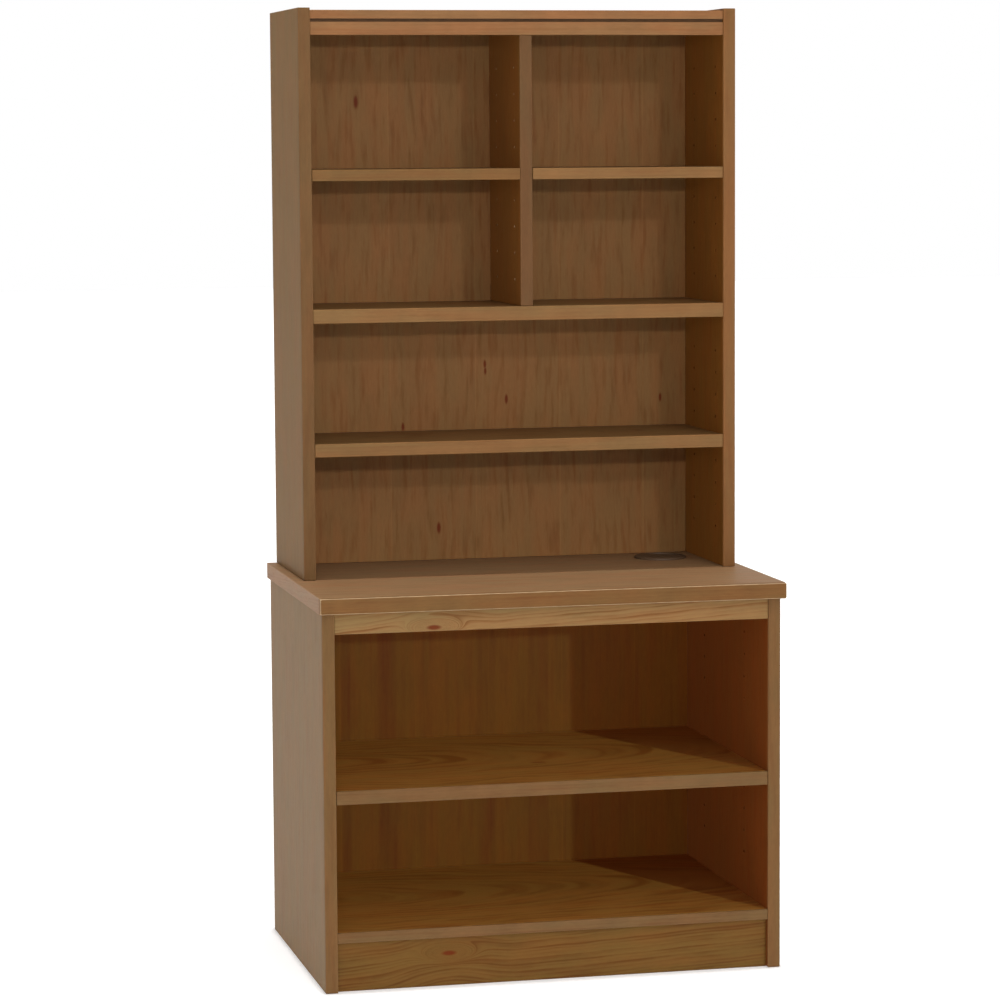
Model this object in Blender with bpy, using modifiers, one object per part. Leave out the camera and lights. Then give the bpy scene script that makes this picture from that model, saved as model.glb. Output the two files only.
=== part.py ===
"""Shelving hutch on an open base bookcase. Metres, +Z up, -Y is the front.

The origin is on the floor, in the middle of the unit's width and depth.
Every adjustable shelf rests on four pins that run in grooves in its ends,
open at the back, so it draws forward off its pins.
"""

import math

import bmesh
import bpy
from mathutils import Matrix, Vector

# ---------------------------------------------------------------- driving dimensions
WORKTOP_WIDTH = 0.880
WORKTOP_DEPTH = 0.580
WORKTOP_THICKNESS = 0.030
WORKTOP_HEIGHT = 0.730
WORKTOP_LIP = 0.012

BASE_WIDTH = 0.867
BASE_DEPTH = 0.560
HUTCH_WIDTH = 0.842
HUTCH_DEPTH = 0.310
SIDE_TOP = 1.796

BOARD = 0.023
BACK_BOARD = 0.009
RAIL_BOARD = 0.018
LIP = 0.006
EDGE_RADIUS = 0.0012
SOFT_EDGE_RADIUS = 0.003
GAP = 0.0003

# heights of the horizontal pieces: (underside, upper face)
CORNICE = (1.7460, 1.7920)
CORNICE_GROOVE = (1.7700, 1.7760)
GROOVE_DEPTH = 0.006
TOP_PANEL = (1.7680, 1.7910)
HALF_SHELF = (1.4762, 1.4972)
FIXED_SHELF = (1.2115, 1.2378)
LOWER_SHELF = (0.9614, 0.9860)
BASE_RAIL = (0.6608, 0.6997)
BASE_SHELF = (0.3479, 0.3733)
BASE_BOTTOM = (0.0916, 0.1110)

DIVIDER_CENTRE = 0.0125
SHELF_SETBACK = 0.0015
RAIL_SETBACK = 0.0030
DIVIDER_SETBACK = 0.0040
PLINTH_SETBACK = 0.0120
HUTCH_BACK_INSET = 0.048
BASE_BACK_INSET = 0.0156
BASE_BACK_FOOT = 0.030

# shelf pins, the rows of holes that take them and the grooves that ride on them
PIN_RADIUS = 0.00235
HOLE_RADIUS = 0.0029
HOLE_DEPTH = 0.009
HOLE_OVERRUN = 0.002
SHELF_END_GAP = 0.001
SHELF_BACK_GAP = 0.0025
END_GROOVE_DEPTH = 0.010
END_GROOVE_HEIGHT = 0.0056
PIN_IN_GROOVE = 0.008
UPPER_PITCH = 0.050
LOWER_PITCH = 0.0425
HUTCH_COLUMN_INSET = 0.055
BASE_COLUMN_INSET = 0.156
REAR_COLUMN_INSET = 0.060

# cable grommet
GROMMET_CENTRE = Vector((0.322, 0.160))
WORKTOP_HOLE_RADIUS = 0.0403
BARREL_RADIUS = 0.0397
BORE_RADIUS = 0.0375
BARREL_LENGTH = 0.034
FLANGE_RADIUS = 0.0510
FLANGE_HEIGHT = 0.0042
FLANGE_CHAMFER = 0.0013
RECESS_RADIUS = 0.0470
RECESS_FLOOR = 0.0014
CAP_RADIUS = 0.0466
CAP_THICKNESS = 0.0026
CAP_CHAMFER = 0.0006
CAP_CHORD = 0.0195
CAP_CHORD_ANGLE = math.radians(45)

# dowels and screws between worktop and hutch, with their distances from the hutch's front and back
DOWEL_RADIUS = 0.004
DOWEL_LENGTH = 0.028
DOWEL_FROM_END = 0.050
SCREW_RADIUS = 0.002
SCREW_LENGTH = 0.050
SCREW_TIP = 0.005
SCREW_HEAD_RADIUS = 0.004
SCREW_HEAD_RIM = 0.0008
SCREW_INSET = 0.006
SCREW_FROM_END = 0.090

# ---------------------------------------------------------------- derived places
BACK = WORKTOP_DEPTH / 2
SCREW_HEAD_HEIGHT = SCREW_HEAD_RIM + SCREW_HEAD_RADIUS - SCREW_RADIUS
BASE_FRONT = BACK - BASE_DEPTH
HUTCH_FRONT = BACK - HUTCH_DEPTH
WORKTOP_UNDER = WORKTOP_HEIGHT - WORKTOP_THICKNESS
HUTCH_FOOT = WORKTOP_HEIGHT + GAP
BASE_INNER = BASE_WIDTH / 2 - BOARD
HUTCH_INNER = HUTCH_WIDTH / 2 - BOARD
HUTCH_BACK_FACE = BACK - HUTCH_BACK_INSET
BASE_BACK_FACE = BACK - BASE_BACK_INSET
DIVIDER_LEFT = DIVIDER_CENTRE - BOARD / 2
DIVIDER_RIGHT = DIVIDER_CENTRE + BOARD / 2
HUTCH_COLUMNS = (HUTCH_FRONT + HUTCH_COLUMN_INSET, HUTCH_BACK_FACE - REAR_COLUMN_INSET)
BASE_COLUMNS = (BASE_FRONT + BASE_COLUMN_INSET, BASE_BACK_FACE - 2 * REAR_COLUMN_INSET)

ROUND_SEGMENTS = 48
PIN_SEGMENTS = 12
HOLE_SEGMENTS = 12


def middle(span):
    return (span[0] + span[1]) / 2


HALF_SHELF_ROWS = [middle(HALF_SHELF) + UPPER_PITCH * k for k in range(-4, 5)]
LOWER_SHELF_ROWS = [middle(LOWER_SHELF) + LOWER_PITCH * k for k in range(-4, 5)]
BASE_SHELF_ROWS = [middle(BASE_SHELF) + LOWER_PITCH * k for k in (-4, -3, -2, -1, 0, 3, 4, 5, 6)]


# ---------------------------------------------------------------- scene and helpers
for old in list(bpy.data.objects):
    bpy.data.objects.remove(old)

parts = bpy.data.collections.new("hutch_unit")
cutters = bpy.data.collections.new("cutters")
bpy.context.scene.collection.children.link(parts)
bpy.context.scene.collection.children.link(cutters)


def material(name, colour, roughness, metallic=0.0):
    mat = bpy.data.materials.new(name)
    mat.use_nodes = True
    shader = mat.node_tree.nodes["Principled BSDF"]
    shader.inputs["Base Color"].default_value = (*colour, 1.0)
    shader.inputs["Roughness"].default_value = roughness
    shader.inputs["Metallic"].default_value = metallic
    mat.diffuse_color = (*colour, 1.0)
    return mat


VENEER = material("walnut_veneer", (0.185, 0.095, 0.042), 0.5)
LIPPING = material("walnut_lipping", (0.27, 0.14, 0.055), 0.5)
BACKING = material("walnut_back", (0.165, 0.08, 0.032), 0.55)
PLASTIC = material("brown_plastic", (0.06, 0.035, 0.02), 0.4)
STEEL = material("zinc_steel", (0.62, 0.62, 0.60), 0.3, 1.0)
BEECH = material("beech_dowel", (0.62, 0.45, 0.27), 0.6)


def add_object(name, mesh, mat=None, collection=parts):
    obj = bpy.data.objects.new(name, mesh)
    collection.objects.link(obj)
    if mat is not None:
        mesh.materials.append(mat)
    return obj


def box_mesh(name, size):
    """A box of that size, centred on its own origin."""
    bm = bmesh.new()
    bmesh.ops.create_cube(bm, size=1.0)
    bmesh.ops.scale(bm, vec=size, verts=bm.verts)
    mesh = bpy.data.meshes.new(name)
    bm.to_mesh(mesh)
    bm.free()
    return mesh


def box(name, x, y, z, mat=None, collection=parts):
    """A box between the ends of the spans x, y and z, with its origin at its middle."""
    size = (x[1] - x[0], y[1] - y[0], z[1] - z[0])
    obj = add_object(name, box_mesh(name, size), mat, collection)
    obj.location = (middle(x), middle(y), middle(z))
    return obj


def bevel(obj, radius=EDGE_RADIUS, segments=2):
    mod = obj.modifiers.new("rounded_edges", "BEVEL")
    mod.width = radius
    mod.segments = segments
    mod.limit_method = "ANGLE"
    mod.angle_limit = math.radians(40)
    return obj


def panel(name, x, y, z, mat=VENEER, radius=EDGE_RADIUS):
    return bevel(box(name, x, y, z, mat), radius)


def as_cutter(obj):
    obj.hide_render = True
    obj.display_type = "WIRE"
    return obj


def cylinder_mesh(name, radius, length, segments):
    """A cylinder along Z, centred on its own origin."""
    bm = bmesh.new()
    bmesh.ops.create_cone(
        bm, cap_ends=True, segments=segments, radius1=radius, radius2=radius, depth=length
    )
    mesh = bpy.data.meshes.new(name)
    bm.to_mesh(mesh)
    bm.free()
    return mesh


UPRIGHT = Matrix.Identity(4)
ALONG_X = Matrix.Rotation(math.pi / 2, 4, "Y")


def cylinder(name, radius, length, at, turn=UPRIGHT, segments=PIN_SEGMENTS, mat=None, collection=parts):
    obj = add_object(name, cylinder_mesh(name, radius, length, segments), mat, collection)
    obj.matrix_world = Matrix.Translation(at) @ turn
    return obj


def cut(obj, cutter):
    """Takes the cutter's space out of obj."""
    mod = obj.modifiers.new("cut_" + cutter.name, "BOOLEAN")
    mod.operation = "DIFFERENCE"
    mod.object = as_cutter(cutter)
    return obj


def drill(obj, places, label, radius, length, turn=UPRIGHT):
    """Drills obj at every place with one cutter. A place is its drill's middle: it reaches both ways."""
    bm = bmesh.new()
    for place in places:
        bmesh.ops.create_cone(
            bm,
            cap_ends=True,
            segments=HOLE_SEGMENTS,
            radius1=radius,
            radius2=radius,
            depth=length,
            matrix=Matrix.Translation(place) @ turn,
        )
    mesh = bpy.data.meshes.new(label)
    bm.to_mesh(mesh)
    bm.free()
    return cut(obj, add_object(label, mesh, None, cutters))


def drill_pin_rows(obj, face_x, columns, rows, label):
    """Drills the rows of shelf pin holes in a face that stands square to X."""
    places = [Vector((face_x, y, z)) for y in columns for z in rows]
    return drill(obj, places, label, HOLE_RADIUS, 2 * HOLE_DEPTH, ALONG_X)


def turned(name, profile, at, mat, segments=ROUND_SEGMENTS):
    """A closed profile of (radius, height) points, outer side top to bottom, swept round Z."""
    mesh = bpy.data.meshes.new(name)
    points = [(r, 0.0, h) for r, h in profile]
    ring = [(i, (i + 1) % len(points)) for i in range(len(points))]
    touches_axis = min(r for r, _ in profile) == 0.0
    mesh.from_pydata(points, ring[:-1] if touches_axis else ring, [])
    obj = add_object(name, mesh, mat)
    obj.location = at
    mod = obj.modifiers.new("turned", "SCREW")
    mod.steps = segments
    mod.render_steps = segments
    mod.use_merge_vertices = True
    mod.merge_threshold = 0.00001
    mod.use_smooth_shade = False
    return obj


# ---------------------------------------------------------------- base bookcase
def base_side(name, side):
    """side is -1 for the left one and 1 for the right one."""
    x = sorted((side * BASE_INNER, side * BASE_WIDTH / 2))
    z = (0.0, WORKTOP_UNDER - GAP)
    board = panel(name, x, (BASE_FRONT + LIP + GAP, BACK), z)
    panel(name + "_lipping", x, (BASE_FRONT, BASE_FRONT + LIP), z, LIPPING)
    drill_pin_rows(board, side * BASE_INNER, BASE_COLUMNS, BASE_SHELF_ROWS, name + "_holes")


def worktop():
    half = WORKTOP_WIDTH / 2
    z = (WORKTOP_UNDER, WORKTOP_HEIGHT)
    lip_back = -BACK + WORKTOP_LIP
    board = panel("worktop", (-half, half), (lip_back + GAP, BACK), z)
    panel("worktop_lipping", (-half, half), (-BACK, lip_back), z, LIPPING, SOFT_EDGE_RADIUS)
    centre = (*GROMMET_CENTRE, middle(z))
    hole = cylinder(
        "worktop_cable_hole",
        WORKTOP_HOLE_RADIUS,
        2 * WORKTOP_THICKNESS,
        centre,
        segments=ROUND_SEGMENTS,
        collection=cutters,
    )
    cut(board, hole)
    return board


def base_carcass():
    base_side("base_side_left", -1)
    base_side("base_side_right", 1)
    inner = (-BASE_INNER + GAP, BASE_INNER - GAP)
    under_top = WORKTOP_UNDER - GAP
    back = (BASE_BACK_FACE, BASE_BACK_FACE + BACK_BOARD)
    panel("base_back_panel", inner, back, (BASE_BACK_FOOT, under_top), BACKING)
    front = BASE_FRONT + SHELF_SETBACK
    panel("base_bottom_panel", inner, (front + LIP + GAP, BASE_BACK_FACE - GAP), BASE_BOTTOM)
    panel("base_bottom_lipping", inner, (front, front + LIP), BASE_BOTTOM, LIPPING)
    plinth_front = BASE_FRONT + PLINTH_SETBACK
    plinth_z = (0.0, BASE_BOTTOM[0] - GAP)
    panel("base_plinth", inner, (plinth_front, plinth_front + RAIL_BOARD), plinth_z, LIPPING)
    rail_front = BASE_FRONT + RAIL_SETBACK
    panel("base_top_rail", inner, (rail_front, rail_front + RAIL_BOARD), BASE_RAIL, LIPPING)
    rear_rail = (BASE_BACK_FACE - GAP - RAIL_BOARD, BASE_BACK_FACE - GAP)
    panel("base_rear_rail", inner, rear_rail, BASE_RAIL)


# ---------------------------------------------------------------- adjustable shelves
def shelf(name, x, front, back, z, columns):
    """An adjustable shelf between two faces at x, with a groove in each end for its pins."""
    x_shelf = (x[0] + SHELF_END_GAP, x[1] - SHELF_END_GAP)
    y_board = (front + LIP + GAP, back - SHELF_BACK_GAP)
    board = panel(name, x_shelf, y_board, z)
    panel(name + "_lipping", x_shelf, (front, front + LIP), z, LIPPING)
    groove_front = columns[0] - PIN_RADIUS - GAP
    groove_z = (middle(z) - END_GROOVE_HEIGHT / 2, middle(z) + END_GROOVE_HEIGHT / 2)
    for end, face, inward in (("left", x[0], 1), ("right", x[1], -1)):
        edge = face + inward * SHELF_END_GAP
        reach = sorted((edge - inward * BOARD, edge + inward * END_GROOVE_DEPTH))
        groove = box(f"{name}_{end}_groove", reach, (groove_front, back + BOARD), groove_z, None, cutters)
        cut(board, groove)
        pin_x = sorted((face - inward * (HOLE_DEPTH - GAP), edge + inward * PIN_IN_GROOVE))
        for place, column in zip(("front", "rear"), columns):
            cylinder(
                f"{name}_pin_{end}_{place}",
                PIN_RADIUS,
                pin_x[1] - pin_x[0],
                (middle(pin_x), column, middle(z)),
                ALONG_X,
                mat=STEEL,
            )


# ---------------------------------------------------------------- hutch
def hutch_side(name, side):
    x = sorted((side * HUTCH_INNER, side * HUTCH_WIDTH / 2))
    z = (HUTCH_FOOT, SIDE_TOP)
    board = panel(name, x, (HUTCH_FRONT + LIP + GAP, BACK), z)
    panel(name + "_lipping", x, (HUTCH_FRONT, HUTCH_FRONT + LIP), z, LIPPING)
    rows = HALF_SHELF_ROWS + LOWER_SHELF_ROWS
    drill_pin_rows(board, side * HUTCH_INNER, HUTCH_COLUMNS, rows, name + "_holes")
    return board


def cornice_rail(inner):
    """The front rail, with a shadow groove routed along its face."""
    front = HUTCH_FRONT + RAIL_SETBACK
    rail = panel("hutch_cornice_rail", inner, (front, front + RAIL_BOARD), CORNICE, LIPPING)
    past_ends = (inner[0] - BOARD, inner[1] + BOARD)
    reach = (front - BOARD, front + GROOVE_DEPTH)
    cut(rail, box("cornice_groove", past_ends, reach, CORNICE_GROOVE, None, cutters))
    return front + RAIL_BOARD + GAP


def divider(top_panel_under):
    """Stands on the fixed shelf and is notched at the top round the cornice rail."""
    x = (DIVIDER_LEFT, DIVIDER_RIGHT)
    front = HUTCH_FRONT + DIVIDER_SETBACK
    foot = FIXED_SHELF[1] + GAP
    y = (front + LIP + GAP, HUTCH_BACK_FACE - GAP)
    board = panel("hutch_divider", x, y, (foot, top_panel_under - GAP))
    panel("hutch_divider_lipping", x, (front, front + LIP), (foot, CORNICE[0] - GAP), LIPPING)
    past_sides = (x[0] - BOARD, x[1] + BOARD)
    rail_back = HUTCH_FRONT + RAIL_SETBACK + RAIL_BOARD + GAP
    notch_z = (CORNICE[0] - GAP, top_panel_under + BOARD)
    cut(board, box("divider_notch", past_sides, (front - BOARD, rail_back), notch_z, None, cutters))
    for face, label in ((DIVIDER_LEFT, "left"), (DIVIDER_RIGHT, "right")):
        drill_pin_rows(board, face, HUTCH_COLUMNS, HALF_SHELF_ROWS, f"divider_{label}_holes")


def hutch_carcass():
    sides = [hutch_side("hutch_side_left", -1), hutch_side("hutch_side_right", 1)]
    inner = (-HUTCH_INNER + GAP, HUTCH_INNER - GAP)
    behind_rail = cornice_rail(inner)
    panel("hutch_top_panel", inner, (behind_rail, BACK), TOP_PANEL)
    back = (HUTCH_BACK_FACE, HUTCH_BACK_FACE + BACK_BOARD)
    panel("hutch_back_panel", inner, back, (HUTCH_FOOT, TOP_PANEL[0] - GAP), BACKING)
    front = HUTCH_FRONT + SHELF_SETBACK
    y = (front + LIP + GAP, HUTCH_BACK_FACE - GAP)
    panel("hutch_fixed_shelf", inner, y, FIXED_SHELF)
    panel("hutch_fixed_shelf_lipping", inner, (front, front + LIP), FIXED_SHELF, LIPPING)
    divider(TOP_PANEL[0])
    return sides


# ---------------------------------------------------------------- grommet and fixings
def grommet():
    """A flanged sleeve in the worktop and a cap with one side cut away for the cables."""
    sleeve = [
        (FLANGE_RADIUS - FLANGE_CHAMFER, FLANGE_HEIGHT),
        (FLANGE_RADIUS, FLANGE_HEIGHT - FLANGE_CHAMFER),
        (FLANGE_RADIUS, 0.0),
        (BARREL_RADIUS, 0.0),
        (BARREL_RADIUS, -BARREL_LENGTH),
        (BORE_RADIUS, -BARREL_LENGTH),
        (BORE_RADIUS, RECESS_FLOOR),
        (RECESS_RADIUS, RECESS_FLOOR),
        (RECESS_RADIUS, FLANGE_HEIGHT),
    ]
    flange_under = WORKTOP_HEIGHT + GAP
    turned("grommet_sleeve", sleeve, (*GROMMET_CENTRE, flange_under), PLASTIC)
    cap_under = flange_under + RECESS_FLOOR + GAP
    cap_at = (*GROMMET_CENTRE, cap_under + CAP_THICKNESS / 2)
    cap = cylinder(
        "grommet_cap", CAP_RADIUS, CAP_THICKNESS, cap_at, segments=ROUND_SEGMENTS, mat=PLASTIC
    )
    bevel(cap, CAP_CHAMFER, 1)
    reach = (CAP_CHORD, 2 * CAP_RADIUS)
    wide = (-2 * CAP_RADIUS, 2 * CAP_RADIUS)
    tall = (-BOARD, BOARD)
    mouth = box("cap_mouth", reach, wide, tall, None, cutters)
    turn = Matrix.Rotation(CAP_CHORD_ANGLE, 4, "Z")
    mouth.matrix_world = Matrix.Translation(cap_at) @ turn @ Matrix.Translation((middle(reach), 0, 0))
    cut(cap, mouth)


def hutch_screw(name, at):
    """A countersunk screw, point up, with the flat of its head at that place."""
    profile = [
        (0.0, SCREW_LENGTH),
        (SCREW_RADIUS, SCREW_LENGTH - SCREW_TIP),
        (SCREW_RADIUS, SCREW_HEAD_HEIGHT),
        (SCREW_HEAD_RADIUS, SCREW_HEAD_RIM),
        (SCREW_HEAD_RADIUS, 0.0),
        (0.0, 0.0),
    ]
    turned(name, profile, at, STEEL, PIN_SEGMENTS)


def hutch_fixings(worktop_board, sides):
    """Two dowels and two screws join the worktop to each side of the hutch."""
    dowel_rows = (("front", HUTCH_FRONT + DOWEL_FROM_END), ("rear", BACK - DOWEL_FROM_END))
    screw_rows = (("front", HUTCH_FRONT + SCREW_FROM_END), ("rear", BACK - SCREW_FROM_END))
    dowel_hole = (DOWEL_RADIUS + GAP, DOWEL_LENGTH + 2 * HOLE_OVERRUN)
    pilot_hole = (SCREW_RADIUS + GAP, 2 * (SCREW_LENGTH - WORKTOP_THICKNESS + HOLE_OVERRUN))
    through_hole = (SCREW_RADIUS + GAP, 3 * WORKTOP_THICKNESS)
    head_hole = (SCREW_HEAD_RADIUS + 2 * GAP, 2 * (SCREW_HEAD_HEIGHT + HOLE_OVERRUN))
    dowels = []
    screws = []
    for side, label, board in ((-1, "left", sides[0]), (1, "right", sides[1])):
        dowel_x = side * (HUTCH_WIDTH - BOARD) / 2
        screw_x = side * (HUTCH_INNER + SCREW_INSET)
        own_dowels = [Vector((dowel_x, y, WORKTOP_HEIGHT)) for _, y in dowel_rows]
        own_screws = [Vector((screw_x, y, WORKTOP_HEIGHT)) for _, y in screw_rows]
        for (place, _), at in zip(dowel_rows, own_dowels):
            cylinder(f"hutch_dowel_{label}_{place}", DOWEL_RADIUS, DOWEL_LENGTH, at, mat=BEECH)
        for (place, y) in screw_rows:
            hutch_screw(f"hutch_screw_{label}_{place}", (screw_x, y, WORKTOP_UNDER + GAP))
        drill(board, own_dowels, f"side_{label}_dowel_holes", *dowel_hole)
        drill(board, own_screws, f"side_{label}_screw_holes", *pilot_hole)
        dowels += own_dowels
        screws += own_screws
    drill(worktop_board, dowels, "worktop_dowel_holes", *dowel_hole)
    drill(worktop_board, screws, "worktop_screw_holes", *through_hole)
    heads = [Vector((at.x, at.y, WORKTOP_UNDER)) for at in screws]
    drill(worktop_board, heads, "worktop_head_holes", *head_hole)


# ---------------------------------------------------------------- build
base_carcass()
top_board = worktop()
hutch_sides = hutch_carcass()
shelf(
    "base_shelf",
    (-BASE_INNER, BASE_INNER),
    BASE_FRONT + SHELF_SETBACK,
    BASE_BACK_FACE,
    BASE_SHELF,
    BASE_COLUMNS,
)
hutch_shelf_front = HUTCH_FRONT + SHELF_SETBACK
for shelf_name, span, levels in (
    ("half_shelf_left", (-HUTCH_INNER, DIVIDER_LEFT), HALF_SHELF),
    ("half_shelf_right", (DIVIDER_RIGHT, HUTCH_INNER), HALF_SHELF),
    ("lower_shelf", (-HUTCH_INNER, HUTCH_INNER), LOWER_SHELF),
):
    shelf(shelf_name, span, hutch_shelf_front, HUTCH_BACK_FACE, levels, HUTCH_COLUMNS)
grommet()
hutch_fixings(top_board, hutch_sides)
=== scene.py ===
import math
from collections import namedtuple

import bmesh
import bpy
from mathutils import Matrix, Vector


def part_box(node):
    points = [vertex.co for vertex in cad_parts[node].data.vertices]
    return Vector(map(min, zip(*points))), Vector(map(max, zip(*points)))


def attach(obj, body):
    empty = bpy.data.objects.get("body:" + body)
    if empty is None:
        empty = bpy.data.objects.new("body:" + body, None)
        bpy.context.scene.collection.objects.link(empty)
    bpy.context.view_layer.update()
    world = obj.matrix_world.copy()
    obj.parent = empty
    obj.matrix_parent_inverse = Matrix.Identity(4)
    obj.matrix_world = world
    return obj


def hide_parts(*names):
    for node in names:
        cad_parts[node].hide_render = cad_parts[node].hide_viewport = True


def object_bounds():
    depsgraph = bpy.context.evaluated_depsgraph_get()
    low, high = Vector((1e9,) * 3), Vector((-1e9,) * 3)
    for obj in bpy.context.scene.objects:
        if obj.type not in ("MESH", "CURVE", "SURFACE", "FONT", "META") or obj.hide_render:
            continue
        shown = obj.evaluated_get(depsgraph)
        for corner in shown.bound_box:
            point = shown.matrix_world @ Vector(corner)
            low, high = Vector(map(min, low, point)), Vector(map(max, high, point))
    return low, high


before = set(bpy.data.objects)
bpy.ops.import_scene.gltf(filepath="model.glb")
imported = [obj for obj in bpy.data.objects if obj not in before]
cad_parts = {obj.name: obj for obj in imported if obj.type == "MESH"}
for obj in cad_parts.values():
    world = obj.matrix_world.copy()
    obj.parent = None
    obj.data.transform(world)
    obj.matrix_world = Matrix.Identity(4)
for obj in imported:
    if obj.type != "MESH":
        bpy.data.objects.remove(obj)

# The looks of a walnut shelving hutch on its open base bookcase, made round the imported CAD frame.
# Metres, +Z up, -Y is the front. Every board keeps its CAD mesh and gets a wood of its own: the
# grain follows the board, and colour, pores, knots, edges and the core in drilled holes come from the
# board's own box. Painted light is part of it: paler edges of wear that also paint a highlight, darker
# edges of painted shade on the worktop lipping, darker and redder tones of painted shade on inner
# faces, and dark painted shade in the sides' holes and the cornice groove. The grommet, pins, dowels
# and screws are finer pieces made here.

CAD_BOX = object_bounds()
X, Y, Z = 0, 1, 2

# ---------------------------------------------------------------- tones, linear colour
HUTCH_OUTER = (0.147, 0.077, 0.024)
BASE_OUTER = (0.168, 0.099, 0.042)
# The two inner tones are painted shade: the inner faces of the sides, the whole divider and the base's
# rear rail are darker and redder than the same wood outside, for the shade inside the hutch and the
# base.
HUTCH_INNER_SHADE_TONE = (0.094, 0.0333, 0.0055)
BASE_INNER_SHADE_TONE = (0.112, 0.029, 0.0052)
VENEER = (0.19, 0.098, 0.04)
SHELF_VENEER = (0.137, 0.07, 0.024)
WORKTOP_VENEER = (0.204, 0.115, 0.055)
BACKING = (0.175, 0.083, 0.027)
# The base back's inner tone, darker and redder than the backing, is painted shade for the shade inside
# the base.
BASE_BACK_SHADE_TONE = (0.162, 0.05, 0.0036)
BASE_FLOORS = (0.16, 0.068, 0.015)
LEFT_LIPPING = (0.106, 0.053, 0.019)
DIVIDER_LIPPING = (0.092, 0.045, 0.0168)
RIGHT_LIPPING = (0.142, 0.064, 0.021)
SHELF_LIPPING = (0.152, 0.078, 0.028)
HALF_LEFT_LIPPING = (0.126, 0.063, 0.0206)
WORKTOP_LIPPING = (0.12, 0.057, 0.0178)
BASE_SIDE_LIPPING = (0.124, 0.06, 0.0215)
BASE_LIPPING = (0.12, 0.06, 0.023)
CORNICE_WOOD = (0.177, 0.083, 0.032)
# Painted shade: the cornice's routed groove is coloured dark for the shade that lies in it.
GROOVE_PAINTED_SHADE = (0.07, 0.033, 0.013)
RAIL_WOOD = (0.174, 0.094, 0.036)
PLINTH_WOOD = (0.104, 0.047, 0.0092)
CHIPBOARD = (0.34, 0.24, 0.14)
# Painted shade: a dark colour for the insides of the side boards' drilled holes, where shade lies, in
# place of the paler chipboard.
HOLE_PAINTED_SHADE = (0.03, 0.01, 0.004)
KNOT = (0.098, 0.011, 0.0005)
BROWN_PLASTIC = (0.07, 0.04, 0.022)
ZINC_BLUE = (0.56, 0.57, 0.58)
ZINC_WARM = (0.7, 0.68, 0.62)
BEECH_PALE = (0.66, 0.47, 0.29)
BEECH_BROWN = (0.52, 0.34, 0.19)

# ---------------------------------------------------------------- gloss, as specular IOR levels
LACQUER_GLOSS = 0.08
SIDE_GLOSS = 0.03
BASE_SIDE_GLOSS = 0.045
PLASTIC_GLOSS = 0.15


# ---------------------------------------------------------------- shader graph helper
# A mix node's input sockets for two vectors and for two colours.
MIX_VECTORS = (4, 5)
MIX_COLOURS = (6, 7)


class Graph:
    """A material and short ways to add linked nodes to it. Values may be numbers or sockets."""

    def __init__(self, name):
        self.material = bpy.data.materials.new(name)
        self.material.use_nodes = True
        self.tree = self.material.node_tree
        self.shader = self.tree.nodes["Principled BSDF"]

    def feed(self, socket, value):
        if isinstance(value, bpy.types.NodeSocket):
            self.tree.links.new(value, socket)
        elif isinstance(value, (tuple, Vector)) and socket.type == "RGBA" and len(value) == 3:
            socket.default_value = (*value, 1.0)
        else:
            socket.default_value = value

    def add(self, kind, inputs=(), **settings):
        node = self.tree.nodes.new(kind)
        for key, value in settings.items():
            setattr(node, key, value)
        for key, value in dict(inputs).items():
            self.feed(node.inputs[key], value)
        return node

    def maths(self, operation, *values, clamp=False):
        node = self.add("ShaderNodeMath", operation=operation, use_clamp=clamp)
        for socket, value in zip(node.inputs, values):
            self.feed(socket, value)
        return node.outputs[0]

    def vector(self, operation, *values):
        node = self.add("ShaderNodeVectorMath", operation=operation)
        for socket, value in zip(node.inputs, values):
            self.feed(socket, value)
        number = operation in ("LENGTH", "DOT_PRODUCT", "DISTANCE")
        return node.outputs["Value" if number else "Vector"]

    def scale(self, vector, factor):
        node = self.add("ShaderNodeVectorMath", {0: vector, "Scale": factor}, operation="SCALE")
        return node.outputs["Vector"]

    def split(self, vector):
        return self.add("ShaderNodeSeparateXYZ", {0: vector}).outputs

    def join(self, x, y, z):
        return self.add("ShaderNodeCombineXYZ", {0: x, 1: y, 2: z}).outputs[0]

    def noise(self, vector, detail=2.0, roughness=0.5):
        inputs = {"Vector": vector, "Scale": 1.0, "Detail": detail, "Roughness": roughness}
        return self.add("ShaderNodeTexNoise", inputs).outputs[0]

    def line_noise(self, value, detail=2.0):
        """Noise along one number."""
        inputs = {"W": value, "Scale": 1.0, "Detail": detail}
        return self.add("ShaderNodeTexNoise", inputs, noise_dimensions="1D").outputs[0]

    def swing(self, value, gain):
        """Turns noise round 0.5 into a swing round 0."""
        return self.maths("MULTIPLY", self.maths("SUBTRACT", value, 0.5), gain)

    def smooth(self, value, low, high, start=0.0, end=1.0):
        inputs = {0: value, 1: low, 2: high, 3: start, 4: end}
        return self.add("ShaderNodeMapRange", inputs, interpolation_type="SMOOTHSTEP").outputs[0]

    def mix(self, share, first, second):
        node = self.add("ShaderNodeMix", {0: share}, data_type="RGBA")
        self.feed(node.inputs[MIX_COLOURS[0]], first)
        self.feed(node.inputs[MIX_COLOURS[1]], second)
        return node.outputs[2]

    def finish(self, colour, roughness, height=None, bump=0.1, depth=0.0002):
        self.feed(self.shader.inputs["Base Color"], colour)
        self.feed(self.shader.inputs["Roughness"], roughness)
        if height is not None:
            bumped = self.add("ShaderNodeBump", {"Strength": bump, "Distance": depth, "Height": height})
            self.feed(self.shader.inputs["Normal"], bumped.outputs[0])
        return self.material


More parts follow.
